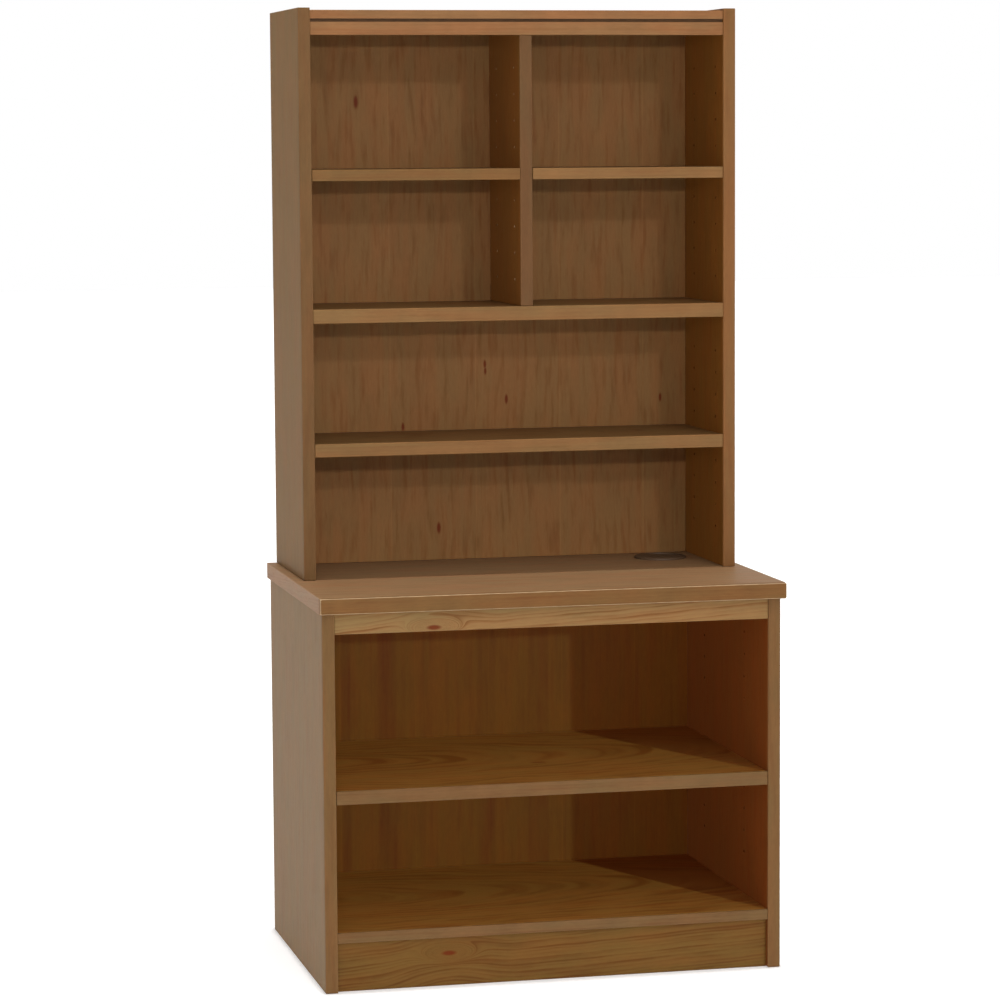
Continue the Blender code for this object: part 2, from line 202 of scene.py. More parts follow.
# ---------------------------------------------------------------- wood
# A figure says how the growth rings meet a board's face. ring is their pitch, wander how far they
# stray sideways, slant how much they climb along the board, arch how steeply they close into
# cathedral curves, and stroke how long the darker strokes run. rings, strokes, bands and cross are
# strengths: of the late wood in each ring, of the strokes, of the olive and red bands, and of the
# ripples across the grain. hill is how far the rings rise towards a knot.
PLAIN = {
    "ring": 0.009,
    "wander": 0.006,
    "slant": 0.0,
    "arch": 0.0,
    "stroke": 0.12,
    "rings": 0.14,
    "strokes": 0.40,
    "bands": 0.8,
    "cross": 0.0,
    "hill": 0.0,
}
FIGURES = {
    "upright": {**PLAIN, "stroke": 0.08, "strokes": 0.54},
    "quiet": {**PLAIN, "ring": 0.011, "wander": 0.003, "rings": 0.16, "strokes": 0.30},
    "cathedral": {**PLAIN, "ring": 0.013, "wander": 0.020, "arch": 0.15, "rings": 0.70, "strokes": 0.40},
    "flamed": {**PLAIN, "ring": 0.019, "wander": 0.030, "arch": 0.22, "rings": 1.00, "strokes": 0.80},
    "sawn": {**PLAIN, "ring": 0.007, "wander": 0.010, "slant": 0.05, "rings": 0.50, "strokes": 0.30},
    "rising": {**PLAIN, "ring": 0.0075, "slant": -0.05, "hill": 0.020, "rings": 1.00, "strokes": 0.45},
    "rippled": {**PLAIN, "ring": 0.006, "wander": 0.003, "rings": 0.30, "strokes": 0.20, "cross": 0.22},
}

# What late wood, strokes and stripes leave of a tone, and how the olive and red bands shift it.
LATE_WOOD = (0.72, 0.54, 0.42)
OLIVE_SHIFT = (-0.03, 0.035, 0.03)
RED_SHIFT = (0.03, -0.06, -0.10)
STRIPE_STRENGTH = 0.55
STRIPE_SOFTNESS = (-0.003, 0.004)

# Growth rings: how uneven their widths are, and the share of a ring where late wood rises and stops.
RING_WOBBLE = 1.5
LATE_RISE = (0.25, 0.85)
LATE_STOP = (1.0, 0.90)
DRIFT_GAIN = 4.0
END_FACE_LIMIT = 0.7

# Noise scales per metre, where three numbers are along, across and through the grain.
DRIFT_SCALE = (3.0, 4.0, 4.0)
MOTTLE_SCALE = (9.0, 26.0, 26.0)
BAND_ALONG = 3.0
BAND_ACROSS = 42.0
STROKE_ACROSS = 95.0
FLECK_SCALE = (70.0, 380.0, 380.0)
FIBRE_SCALE = (40.0, 1300.0, 1300.0)
RIPPLE_SCALE = (26.0, 3.0, 3.0)
SEED_STEPS = (1.7, 0.9, 0.4)

# Where in its noise each effect starts and where it is full.
HUE_RANGE = (0.30, 0.70)
PORE_RANGE = (0.62, 0.72)
STROKE_RANGE = (0.46, 0.74)
BREAK_RANGE = (0.34, 0.58)
BLOTCH_RANGE = (0.30, 0.66)
PATCH_RANGE = (0.35, 0.65)
SEAM_RANGE = (0.488, 0.5)

# How far each detail swings the brightness, and what makes up for the darkening by rings and strokes.
MOTTLE_SWING = 0.20
FLECK_SWING = 0.22
FIBRE_SWING = 0.16
PORE_DARKNESS = 0.12
LEAF_SWING = 0.06
SEAM_LIGHT = 0.14
CORE_SWING = 0.9
RINGS_MADE_UP = 0.12
STROKES_MADE_UP = 0.10

# Knots: width over length, how far the rings part round one, in knot radii, the power by which that
# fades, where its core fades, in knot radii, and how far along the grain the rings rise, in metres.
KNOT_SLIMNESS = 0.34
KNOT_REACH = 1.25
KNOT_FADE = 4.0
KNOT_CORE = (0.45, 1.35)
HILL_REACH = 0.13

# Cathedral curves: the heart's place across the board, and how far before its end they close.
HEART_PLACE = 0.55
ARCH_START = 0.12

# Edges as (share, multiple of the board's tone): paler edges of wear that also paint a highlight, and
# darker edges of painted shade. Then the depths of veneer, of that edge band and of the opened core,
# which some boards paint dark as shade.
WORN_EDGE_AND_HIGHLIGHT = (0.17, 1.9)
EDGE_PAINTED_SHADE = (0.6, 0.3)
EDGE_BAND_DEPTH = (0.0004, 0.0022)
CORE_DEPTH = (0.0004, 0.0008)
VENEER_DEPTH = 0.002

LACQUER_ROUGHNESS = 0.50
GRAIN_BUMP = 0.25
GRAIN_RELIEF = 0.00015

Noises = namedtuple("Noises", "mottle band strokes fleck fibre pore")


def board_axes(size, grain):
    """The axes along the grain, across it in the broad face, and through the board."""
    others = sorted((axis for axis in (X, Y, Z) if axis != grain), key=lambda axis: -size[axis])
    return grain, others[0], others[1]


def grain_space(graph, place, normal, axes, seed):
    """The point as (along, across, through). On end faces the grain of the edging runs the long way."""
    along, across, through = axes
    parts = graph.split(place)
    facing = graph.maths("ABSOLUTE", graph.split(normal)[along])
    end_face = graph.maths("GREATER_THAN", facing, END_FACE_LIMIT)
    body = graph.join(parts[along], parts[across], parts[through])
    edging = graph.join(parts[across], parts[through], parts[along])
    turned = graph.add("ShaderNodeMix", {0: end_face}, data_type="VECTOR")
    graph.feed(turned.inputs[MIX_VECTORS[0]], body)
    graph.feed(turned.inputs[MIX_VECTORS[1]], edging)
    return graph.vector("ADD", turned.outputs[1], tuple(seed * step for step in SEED_STEPS)), end_face


def knotted(graph, point, across, knots, seed, hill):
    """Makes the rings rise towards every knot and part round it. Returns the new place across and
    the dark cores."""
    shift = Vector((seed * SEED_STEPS[0], seed * SEED_STEPS[1], 0.0))
    cores = None
    for along_at, across_at, radius in knots:
        centre = Vector((along_at, across_at, 0.0)) + shift
        away = graph.vector("SUBTRACT", point, centre)
        in_radii = graph.vector("MULTIPLY", away, (KNOT_SLIMNESS / radius, 1 / radius, 0.0))
        near = graph.vector("LENGTH", in_radii)
        reach = graph.maths("DIVIDE", KNOT_REACH, graph.maths("MAXIMUM", near, 0.01))
        pull = graph.maths("POWER", reach, KNOT_FADE, clamp=True)
        offset = graph.maths("SUBTRACT", across, centre.y)
        across = graph.maths("SUBTRACT", across, graph.maths("MULTIPLY", offset, pull))
        if hill:
            beside = graph.maths("ABSOLUTE", graph.split(away)[0])
            across = graph.maths("SUBTRACT", across, graph.smooth(beside, 0.0, HILL_REACH, hill, 0.0))
        core = graph.smooth(near, *KNOT_CORE, 1.0, 0.0)
        cores = core if cores is None else graph.maths("MAXIMUM", cores, core)
    return across, cores


def ring_place(graph, parts, look, point, knots, seed, board):
    """Where each point stands across the growth rings, and the dark cores of the knots."""
    low, size, axes = board
    drift = graph.noise(graph.vector("MULTIPLY", point, DRIFT_SCALE), 3.0)
    across = graph.maths("ADD", parts[1], graph.swing(drift, DRIFT_GAIN * look["wander"]))
    if look["slant"]:
        across = graph.maths("MULTIPLY_ADD", parts[0], look["slant"], across)
    across, cores = knotted(graph, point, across, knots, seed, look["hill"])
    if look["arch"]:
        heart = low[axes[1]] + HEART_PLACE * size[axes[1]] + seed * SEED_STEPS[1]
        start = low[axes[0]] - ARCH_START + seed * SEED_STEPS[0]
        sideways = graph.maths("SUBTRACT", across, heart)
        climb = graph.maths("MULTIPLY", graph.maths("SUBTRACT", parts[0], start), look["arch"])
        across = graph.vector("LENGTH", graph.join(sideways, climb, 0.0))
    return across, cores


def edge_distances(graph, place, middle, size):
    """How deep a point lies inside the board's box, and how far it is from the nearest edge."""
    from_middle = graph.vector("ABSOLUTE", graph.vector("SUBTRACT", place, middle))
    inside = graph.split(graph.vector("SUBTRACT", size / 2, from_middle))
    least = graph.maths("MINIMUM", inside[0], inside[1])
    most = graph.maths("MAXIMUM", inside[0], inside[1])
    depth = graph.maths("MINIMUM", least, inside[2])
    to_edge = graph.maths("MAXIMUM", least, graph.maths("MINIMUM", most, inside[2]))
    return depth, to_edge


def late_wood(graph, across, look):
    """How dark each point is within its growth ring: every ring darkens, then stops short."""
    rings = graph.maths("DIVIDE", across, look["ring"])
    wobble = graph.line_noise(graph.maths("MULTIPLY", rings, 0.3), 1.0)
    turns = graph.maths("MULTIPLY_ADD", wobble, RING_WOBBLE, rings)
    share = graph.maths("FRACT", turns)
    rise = graph.smooth(share, *LATE_RISE)
    stop = graph.smooth(share, *LATE_STOP)
    own = graph.smooth(graph.line_noise(graph.maths("MULTIPLY", turns, 0.8), 1.0), 0.3, 0.7, 0.3, 1.0)
    return graph.maths("MULTIPLY", graph.maths("MULTIPLY", rise, stop), own)


def stripe_share(graph, place, low, size, axes, stripes, blotches):
    """Soft redder stripes along the grain, between shares of the board's width."""
    across = graph.split(place)[axes[1]]
    total = 0.0
    for start, end in stripes:
        middle = low[axes[1]] + size[axes[1]] * (start + end) / 2
        half = size[axes[1]] * (end - start) / 2
        away = graph.maths("ABSOLUTE", graph.maths("SUBTRACT", across, middle))
        soft = [half + reach for reach in STRIPE_SOFTNESS]
        stripe = graph.smooth(away, *soft, 1.0, 0.0)
        total = graph.maths("ADD", stripe, total)
    return graph.maths("MULTIPLY", total, graph.smooth(blotches, *BLOTCH_RANGE, 0.35, 1.0))


def grain_noises(graph, point, parts, across, look):
    """The noises that run with the grain, from coarse to fine, and the pores."""
    mottle = graph.noise(graph.vector("MULTIPLY", point, MOTTLE_SCALE), 3.0)
    band_along = graph.maths("MULTIPLY", parts[0], BAND_ALONG)
    band_across = graph.maths("MULTIPLY", across, BAND_ACROSS)
    band = graph.noise(graph.join(band_along, band_across, 0.0), 2.0)
    stroke_along = graph.maths("DIVIDE", parts[0], look["stroke"])
    stroke_across = graph.maths("MULTIPLY", across, STROKE_ACROSS)
    strokes = graph.noise(graph.join(stroke_along, stroke_across, parts[2]), 3.0)
    fleck = graph.noise(graph.vector("MULTIPLY", point, FLECK_SCALE), 1.0)
    fibre = graph.noise(graph.vector("MULTIPLY", point, FIBRE_SCALE), 2.0)
    pore = graph.smooth(fibre, *PORE_RANGE)
    return Noises(mottle, band, strokes, fleck, fibre, pore)


def banded_tone(graph, place, noises, look, tone, inner, box):
    """The early wood's tone in olive and red bands, with a darker, redder tone of painted shade on an
    inner face.
    """
    hue = graph.smooth(graph.maths("ADD", noises.band, graph.swing(noises.mottle, 0.8)), *HUE_RANGE)

    def shifted(colour, shift):
        return tuple(part * (1 + share * look["bands"]) for part, share in zip(colour, shift))

    def banded(colour):
        return graph.mix(hue, shifted(colour, OLIVE_SHIFT), shifted(colour, RED_SHIFT))

    if not inner:
        return banded(tone)
    axis, way, painted_shade_tone = inner
    low, high = box
    face = high[axis] if way > 0 else low[axis]
    away = graph.maths("ABSOLUTE", graph.maths("SUBTRACT", graph.split(place)[axis], face))
    # Within the veneer depth of the inner face, the tone turns to painted shade.
    return graph.mix(graph.maths("LESS_THAN", away, VENEER_DEPTH), banded(tone), banded(painted_shade_tone))


def leaf_value(graph, value, across, leaf):
    """Gives each veneer leaf a brightness of its own, and a thin lighter seam beside it."""
    leaves = graph.maths("DIVIDE", across, leaf)
    number = graph.maths("FLOOR", leaves)
    own = graph.add("ShaderNodeTexWhiteNoise", {"W": number}, noise_dimensions="1D")
    value = graph.maths("ADD", value, graph.swing(own.outputs[0], LEAF_SWING))
    seam = graph.maths("ABSOLUTE", graph.maths("SUBTRACT", graph.maths("FRACT", leaves), 0.5))
    return graph.maths("ADD", value, graph.smooth(seam, *SEAM_RANGE, 0.0, SEAM_LIGHT))


def brightness(graph, point, noises, look):
    """How bright each point is beside its tone."""
    mean = 1.0 + RINGS_MADE_UP * look["rings"] + STROKES_MADE_UP * look["strokes"]
    value = graph.maths("ADD", mean, graph.swing(noises.mottle, MOTTLE_SWING))
    value = graph.maths("ADD", value, graph.swing(noises.fleck, FLECK_SWING))
    value = graph.maths("ADD", value, graph.swing(noises.fibre, FIBRE_SWING))
    value = graph.maths("SUBTRACT", value, graph.maths("MULTIPLY", noises.pore, PORE_DARKNESS))
    if look["cross"]:
        ripple = graph.noise(graph.vector("MULTIPLY", point, RIPPLE_SCALE), 1.0)
        value = graph.maths("ADD", value, graph.swing(ripple, look["cross"]))
    return value


def wood(
    name,
    grain,
    tone,
    figure,
    seed,
    knots=(),
    inner=None,
    core=CHIPBOARD,
    gloss=LACQUER_GLOSS,
    leaf=None,
    stripes=(),
    edge=WORN_EDGE_AND_HIGHLIGHT,
):
    """A lacquered wood for one CAD board.

    grain is the axis it runs along and tone its mean colour. knots are (along, across, radius), with
    the first two as shares of the board. inner is (axis, direction, tone) of an inner face whose darker,
    redder tone is painted shade. core is the colour of what is drilled or routed open, dark painted
    shade in the sides' holes and the cornice groove. gloss is the lacquer's, leaf the width of one
    veneer leaf, and stripes the redder bands, as shares of the board's width. edge is (share, tone) of
    the edges, with tone as a multiple of the board's: paler edges of wear that also paint a highlight,
    or darker edges of painted shade.
    """
    low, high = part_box(name)
    size = high - low
    axes = board_axes(size, grain)
    along_low, along_size = low[axes[0]], size[axes[0]]
    across_low, across_size = low[axes[1]], size[axes[1]]
    look = FIGURES[figure]
    graph = Graph(name + "_wood")
    coordinates = graph.add("ShaderNodeTexCoord")
    place = coordinates.outputs["Object"]
    normal = coordinates.outputs["Normal"]
    point, end_face = grain_space(graph, place, normal, axes, seed)
    parts = graph.split(point)
    real_knots = [(along_low + a * along_size, across_low + c * across_size, r) for a, c, r in knots]
    across, cores = ring_place(graph, parts, look, point, real_knots, seed, (low, size, axes))
    noises = grain_noises(graph, point, parts, across, look)
    colour = banded_tone(graph, place, noises, look, tone, inner, (low, high))
    value = brightness(graph, point, noises, look)
    if leaf:
        value = leaf_value(graph, value, parts[1], leaf)
    colour = graph.scale(colour, value)

    # late wood, strokes and stripes, all darker and redder, and the knots' cores
    broken = graph.smooth(noises.strokes, *BREAK_RANGE, 0.25, 1.0)
    late = graph.maths("MULTIPLY", late_wood(graph, across, look), broken)
    darker = graph.maths("MULTIPLY", late, look["rings"])
    stroke = graph.smooth(noises.strokes, *STROKE_RANGE, 0.0, look["strokes"])
    darker = graph.maths("ADD", darker, stroke, clamp=True)
    if stripes:
        stripe = stripe_share(graph, place, low, size, axes, stripes, noises.mottle)
        darker = graph.maths("MULTIPLY_ADD", stripe, STRIPE_STRENGTH, darker, clamp=True)
    colour = graph.mix(darker, colour, graph.vector("MULTIPLY", colour, LATE_WOOD))
    if cores is not None:
        on_face = graph.maths("MULTIPLY", cores, graph.maths("SUBTRACT", 0.9, end_face), clamp=True)
        colour = graph.mix(on_face, colour, KNOT)

    # paler edges of wear with a painted highlight, or darker edges of painted shade, and the core where
    # something is drilled or routed out
    depth, to_edge = edge_distances(graph, place, low + size / 2, size)
    edge_band = graph.smooth(to_edge, *EDGE_BAND_DEPTH, 1.0, 0.0)
    edge_paint_strength, edge_tone = edge
    edge_paint_share = graph.maths("MULTIPLY", edge_band, graph.smooth(noises.mottle, *PATCH_RANGE, 0.3 * edge_paint_strength, edge_paint_strength))
    colour = graph.mix(edge_paint_share, colour, tuple(edge_tone * part for part in tone))
    # Drilled and routed places show the board's core colour, which in the sides' holes and the cornice
    # groove is dark painted shade.
    opened_colour = graph.scale(graph.join(*core), graph.maths("ADD", 1.0, graph.swing(noises.fleck, CORE_SWING)))
    colour = graph.mix(graph.smooth(depth, *CORE_DEPTH), colour, opened_colour)

    graph.shader.inputs["Specular IOR Level"].default_value = gloss
    relief = graph.maths("SUBTRACT", graph.swing(noises.fibre, 0.6), graph.maths("MULTIPLY", late, 0.15))
    relief = graph.maths("SUBTRACT", relief, noises.pore)
    in_pores = graph.maths("MULTIPLY_ADD", noises.pore, 0.12, LACQUER_ROUGHNESS)
    roughness = graph.maths("ADD", graph.swing(noises.fibre, 0.16), in_pores)
    return graph.finish(colour, roughness, relief, bump=GRAIN_BUMP, depth=GRAIN_RELIEF)


def dress(node, material):
    """Gives a carried CAD node its material."""
    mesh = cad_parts[node].data
    mesh.materials.clear()
    mesh.materials.append(material)


# Every board: node, grain axis, tone, figure, knots as shares of its face, and options.
HUTCH_BACK_KNOTS = (
    (0.862, 0.169, 0.0044),
    (0.302, 0.540, 0.0034),
    (0.369, 0.486, 0.0030),
    (0.356, 0.487, 0.0026),
    (0.254, 0.279, 0.0030),
    (0.299, 0.934, 0.0030),
    (0.061, 0.367, 0.0040),
)
BASE_BACK_STRIPES = ((0.137, 0.159), (0.227, 0.271), (0.472, 0.513), (0.600, 0.648))
BASE_BACK_LEAVES = {"leaf": 0.15, "stripes": BASE_BACK_STRIPES}
# The sides' core colour is dark painted shade in their drilled holes.
HUTCH_SIDE = {"core": HOLE_PAINTED_SHADE, "gloss": SIDE_GLOSS}
BASE_SIDE = {"core": HOLE_PAINTED_SHADE, "gloss": BASE_SIDE_GLOSS}
BOARDS = [
    ("hutch_side_left", Z, HUTCH_OUTER, "quiet", (), {"inner": (X, 1, HUTCH_INNER_SHADE_TONE), **HUTCH_SIDE}),
    ("hutch_side_right", Z, HUTCH_OUTER, "quiet", (), {"inner": (X, -1, HUTCH_INNER_SHADE_TONE), **HUTCH_SIDE}),
    ("hutch_divider", Z, HUTCH_INNER_SHADE_TONE, "quiet", (), {}),
    ("hutch_back_panel", Z, BACKING, "upright", HUTCH_BACK_KNOTS, {"leaf": 0.17}),
    ("hutch_top_panel", X, VENEER, "cathedral", (), {}),
    ("hutch_fixed_shelf", X, SHELF_VENEER, "cathedral", (), {}),
    ("lower_shelf", X, SHELF_VENEER, "cathedral", (), {}),
    ("half_shelf_left", X, SHELF_VENEER, "cathedral", (), {}),
    ("half_shelf_right", X, SHELF_VENEER, "cathedral", (), {}),
    ("worktop", X, WORKTOP_VENEER, "sawn", (), {}),
    ("base_side_left", Z, BASE_OUTER, "quiet", (), {"inner": (X, 1, BASE_INNER_SHADE_TONE), **BASE_SIDE}),
    ("base_side_right", Z, BASE_OUTER, "quiet", (), {"inner": (X, -1, BASE_INNER_SHADE_TONE), **BASE_SIDE}),
    ("base_back_panel", Z, BACKING, "quiet", (), {"inner": (Y, -1, BASE_BACK_SHADE_TONE), **BASE_BACK_LEAVES}),
    ("base_bottom_panel", X, BASE_FLOORS, "flamed", (), {}),
    ("base_shelf", X, BASE_FLOORS, "flamed", ((0.522, 0.374, 0.0055),), {}),
    ("base_rear_rail", X, BASE_INNER_SHADE_TONE, "sawn", (), {}),
    ("base_plinth", X, PLINTH_WOOD, "rising", ((0.256, 0.664, 0.0050),), {}),
    ("base_top_rail", X, RAIL_WOOD, "rising", ((0.225, 0.18, 0.0050),), {}),
    ("hutch_cornice_rail", X, CORNICE_WOOD, "rippled", (), {"core": GROOVE_PAINTED_SHADE}),
    ("worktop_lipping", X, WORKTOP_LIPPING, "rippled", (), {"edge": EDGE_PAINTED_SHADE}),
    ("hutch_side_left_lipping", Z, LEFT_LIPPING, "quiet", (), {}),
    ("hutch_side_right_lipping", Z, RIGHT_LIPPING, "quiet", (), {}),
    ("hutch_divider_lipping", Z, DIVIDER_LIPPING, "quiet", (), {}),
    ("base_side_left_lipping", Z, BASE_SIDE_LIPPING, "quiet", (), {}),
    ("base_side_right_lipping", Z, BASE_SIDE_LIPPING, "quiet", (), {}),
    ("half_shelf_left_lipping", X, HALF_LEFT_LIPPING, "rippled", (), {}),
    ("half_shelf_right_lipping", X, SHELF_LIPPING, "rippled", (), {}),
    ("hutch_fixed_shelf_lipping", X, SHELF_LIPPING, "rippled", (), {}),
    ("lower_shelf_lipping", X, SHELF_LIPPING, "rippled", (), {}),
    ("base_shelf_lipping", X, BASE_LIPPING, "rippled", (), {}),
    ("base_bottom_lipping", X, BASE_LIPPING, "rippled", (), {}),
]

for seed, (node, grain, tone, figure, knots, options) in enumerate(BOARDS, start=1):
    dress(node, wood(node, grain, tone, figure, seed, knots, **options))


# ---------------------------------------------------------------- plastic, steel and beech
# Noise scales per metre.
SPARK_SCALE = 2600.0
CLOUD_SCALE = 45.0
BRUSHED_SCALE = (200.0, 3000.0, 3000.0)
BLOOM_SCALE = 400.0
BEECH_FLECK_SCALE = (1600.0, 1600.0, 120.0)
BEECH_BAND_SCALE = (420.0, 420.0, 30.0)
PLASTIC_ROUGHNESS = 0.48
ZINC_ROUGHNESS = 0.30
BEECH_ROUGHNESS = 0.65


def moulded_plastic():
    graph = Graph("brown_moulded_plastic")
    place = graph.add("ShaderNodeTexCoord").outputs["Object"]
    spark = graph.noise(graph.scale(place, SPARK_SCALE), 2.0)
    cloud = graph.noise(graph.scale(place, CLOUD_SCALE), 3.0)
    swings = graph.maths("ADD", graph.swing(spark, 0.5), graph.swing(cloud, 0.35))
    colour = graph.scale(graph.join(*BROWN_PLASTIC), graph.maths("ADD", 1.0, swings))
    roughness = graph.maths("ADD", PLASTIC_ROUGHNESS, graph.swing(cloud, 0.2))
    graph.shader.inputs["Specular IOR Level"].default_value = PLASTIC_GLOSS
    return graph.finish(colour, roughness, spark, bump=0.3, depth=0.0001)


def zinc_steel():
    graph = Graph("bright_zinc_steel")
    place = graph.add("ShaderNodeTexCoord").outputs["Object"]
    brushed = graph.noise(graph.vector("MULTIPLY", place, BRUSHED_SCALE), 2.0)
    bloom = graph.noise(graph.scale(place, BLOOM_SCALE), 2.0)
    colour = graph.mix(graph.smooth(bloom, 0.3, 0.7), ZINC_BLUE, ZINC_WARM)
    roughness = graph.maths("ADD", ZINC_ROUGHNESS, graph.swing(brushed, 0.25))
    graph.shader.inputs["Metallic"].default_value = 1.0
    return graph.finish(colour, roughness, brushed, bump=0.2, depth=0.00005)


def raw_beech():
    graph = Graph("raw_beech")
    place = graph.add("ShaderNodeTexCoord").outputs["Object"]
    fleck = graph.noise(graph.vector("MULTIPLY", place, BEECH_FLECK_SCALE), 2.0)
    bands = graph.noise(graph.vector("MULTIPLY", place, BEECH_BAND_SCALE), 2.0)
    colour = graph.mix(graph.smooth(bands, 0.3, 0.7), BEECH_PALE, BEECH_BROWN)
    colour = graph.scale(colour, graph.maths("ADD", 1.0, graph.swing(fleck, 0.4)))
    return graph.finish(colour, BEECH_ROUGHNESS, fleck, bump=0.3, depth=0.0001)


PLASTIC = moulded_plastic()
STEEL = zinc_steel()
BEECH = raw_beech()


# ---------------------------------------------------------------- groups that lamps light alone
def receivers(name, starts, apart=None):
    """The CAD nodes whose names start so, without those with apart in their name, in a
    collection for a lamp that lights only them."""
    group = bpy.data.collections.new(name)
    for node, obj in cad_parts.items():
        if node.startswith(starts) and not (apart and apart in node):
            group.objects.link(obj)
    return group


HUTCH_GROUP = receivers("hutch_parts", ("hutch", "half", "lower", "worktop", "grommet"))
BASE_GROUP = receivers("base_parts", ("base",))
FLOOR_GROUP = receivers("base_floors", ("base_shelf", "base_bottom"), apart="lipping")
RIGHT_WALLS = receivers("right_walls", ("hutch_side_right", "hutch_divider", "base_side_right"))
LEFT_WALLS = receivers("left_walls", ("hutch_side_left", "hutch_divider", "base_side_left"))


# ---------------------------------------------------------------- grommet, pins, dowels and screws
CLEARANCE = 0.0003
SLEEVE_SEGMENTS = 128
BARREL_RADIUS = 0.0397
BORE_RADIUS = 0.0375
RECESS_RADIUS = 0.0470
FLANGE_ROUNDING = 0.0030
LIP_ROUNDING = 0.0005
BARREL_CHAMFER = 0.0008
CAP_RADIUS = 0.0466
CAP_MOUTH = 0.0195
CAP_MOUTH_ANGLE = math.radians(45)
CAP_ROUNDING = 0.0005
CAP_PANEL_INSET = 0.0042
CAP_PANEL_STEP = 0.0004
PIN_SEGMENTS = 32
PIN_CHAMFER = 0.0004
PIN_GROOVE = 0.00018
DOWEL_SEGMENTS = 96
DOWEL_FLUTES = 16
FLUTE_DEPTH = 0.0003
DOWEL_CHAMFER = 0.0010
DOWEL_CHAMFER_SLOPE = 0.6
SCREW_SEGMENTS = 24
SCREW_HEAD_RIM = 0.0008
SCREW_HEAD_HEIGHT = 0.0028
SHANK_RADIUS = 0.0020
PLAIN_SHANK_END = 0.0140
TIP_LENGTH = 0.0060
TIP_RADIUS = 0.0002
THREAD_PITCH = 0.0016
THREAD_DEPTH = 0.00045
THREAD_SHARPNESS = 2.2
RINGS_PER_TURN = 8
CROSS_REACH = 0.0022
CROSS_HALF_WIDTH = 0.0005
CROSS_DEPTH = 0.0012
CROSS_TAPER = 0.8
SMOOTH_ANGLE = math.radians(35)


def piece(bm, node, material, group, body="root"):
    """Puts a finished mesh in the place of a CAD node, on that node's body and with its slot."""
    bmesh.ops.recalc_face_normals(bm, faces=bm.faces)
    mesh = bpy.data.meshes.new(node + "_fine")
    bm.to_mesh(mesh)
    bm.free()
    mesh.shade_smooth()
    mesh.set_sharp_from_angle(angle=SMOOTH_ANGLE)
    mesh.materials.append(material)
    obj = bpy.data.objects.new(node + "_fine", mesh)
    bpy.context.scene.collection.objects.link(obj)
    group.objects.link(obj)
    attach(obj, body)
    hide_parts(node)


def quarter_round(centre, radius, start, end, steps=6):
    """Points of (radius, height) along an arc, with its angles in degrees."""
    angles = [math.radians(start + (end - start) * step / steps) for step in range(steps + 1)]
    return [(centre[0] + radius * math.cos(a), centre[1] + radius * math.sin(a)) for a in angles]


def lathe(profile, segments):
    """Turns a profile of (radius, height) round Z. It closes on the axis, or else on itself."""
    bm = bmesh.new()
    verts = [bm.verts.new((radius, 0.0, height)) for radius, height in profile]
    edges = [bm.edges.new(pair) for pair in zip(verts, verts[1:])]
    if profile[0][0] > 0.0:
        edges.append(bm.edges.new((verts[-1], verts[0])))
    turn = 2 * math.pi
    bmesh.ops.spin(bm, geom=verts + edges, cent=(0, 0, 0), axis=(0, 0, 1), angle=turn, steps=segments)
    bmesh.ops.remove_doubles(bm, verts=bm.verts, dist=0.000001)
    return bm


def shaped_rod(heights, radius_at, segments):
    """A rod round Z, open at both ends. radius_at gives the radius at a height and an angle."""
    bm = bmesh.new()
    angles = [2 * math.pi * step / segments for step in range(segments)]
    rings = []
    for height in heights:
        radii = [radius_at(height, angle) for angle in angles]
        points = [(r * math.cos(a), r * math.sin(a), height) for r, a in zip(radii, angles)]
        rings.append([bm.verts.new(point) for point in points])
    for lower, upper in zip(rings, rings[1:]):
        for step in range(segments):
            after = (step + 1) % segments
            bm.faces.new((lower[step], lower[after], upper[after], upper[step]))
    return bm, rings[0], rings[-1]


def grommet_sleeve():
    low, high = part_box("grommet_sleeve")
    flange = (high.x - low.x) / 2
    rim_z = high.z - FLANGE_ROUNDING
    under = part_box("worktop")[1].z + CLEARANCE
    recess_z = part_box("grommet_cap")[0].z - CLEARANCE
    lip = (RECESS_RADIUS + LIP_ROUNDING, high.z - LIP_ROUNDING)
    profile = quarter_round(lip, LIP_ROUNDING, 180, 90, 3)
    profile += quarter_round((flange - FLANGE_ROUNDING, rim_z), FLANGE_ROUNDING, 90, 0)
    profile += [(flange, under), (BARREL_RADIUS, under), (BARREL_RADIUS, low.z + BARREL_CHAMFER)]
    profile += [(BARREL_RADIUS - BARREL_CHAMFER, low.z), (BORE_RADIUS, low.z)]
    profile += [(BORE_RADIUS, recess_z), (RECESS_RADIUS, recess_z)]
    bm = lathe(profile, SLEEVE_SEGMENTS)
    bmesh.ops.translate(bm, vec=(GROMMET_CENTRE.x, GROMMET_CENTRE.y, 0.0), verts=bm.verts)
    piece(bm, "grommet_sleeve", PLASTIC, HUTCH_GROUP)


